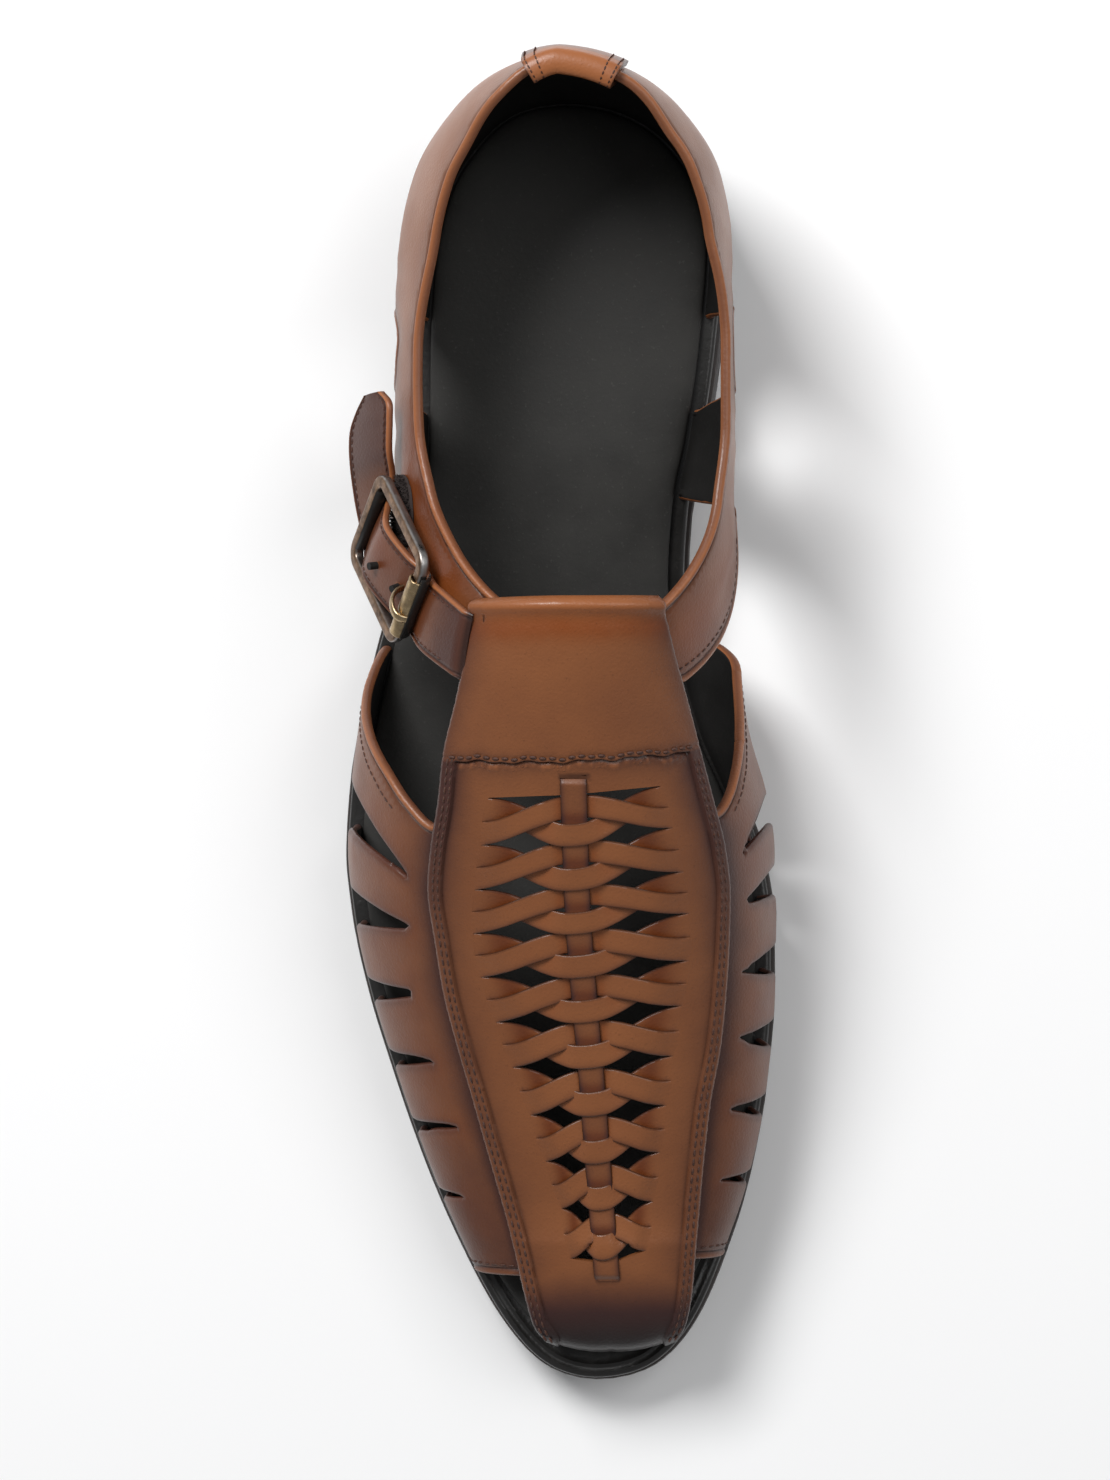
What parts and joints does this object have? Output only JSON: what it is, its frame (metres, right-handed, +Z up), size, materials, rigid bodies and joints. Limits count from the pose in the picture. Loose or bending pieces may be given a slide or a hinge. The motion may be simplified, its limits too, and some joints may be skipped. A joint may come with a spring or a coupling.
{
  "type": "peshawari chappal",
  "caption": "Right peshawari chappal in burnished tan leather with a woven vamp panel, slashed wings, a buckled instep strap and a low heeled rubber sole.",
  "frame": {"origin": "on the floor, at the middle of the heel's flat tread, 65 mm forward of the back of the sole", "axes": "+Z up, -Y towards the toe, +X towards the inner side of the right foot"},
  "size_m": [0.1008, 0.3, 0.0898],
  "materials": {
    "tan_leather": "burnished semi-gloss, darker at edges and toe",
    "black_cover": "smooth glossy black cover on the platform's edge and the buckle's loop",
    "footbed_cover": "matt black lining with a fine grain",
    "sole_rubber": "brown moulded rubber, darker at the rim",
    "heel_rubber": "dark brown moulded rubber",
    "antique_brass": "antique, darkened in the corners and worn on the edges",
    "fuzzy_patch": "black loop pile"
  },
  "bodies": {
    "root": {"outsole": "sole_rubber", "heel": "heel_rubber", "midsole": "black_cover", "footbed": "footbed_cover", "upper": "tan_leather", "vamp_panel": "tan_leather", "back_tab": "tan_leather", "buckle_strap": "tan_leather", "buckle_frame": "antique_brass", "buckle_roller": "antique_brass", "buckle_prong": "antique_brass", "buckle_loop": "black_cover", "hook_patch": "fuzzy_patch"}
  },
  "joints": []
}
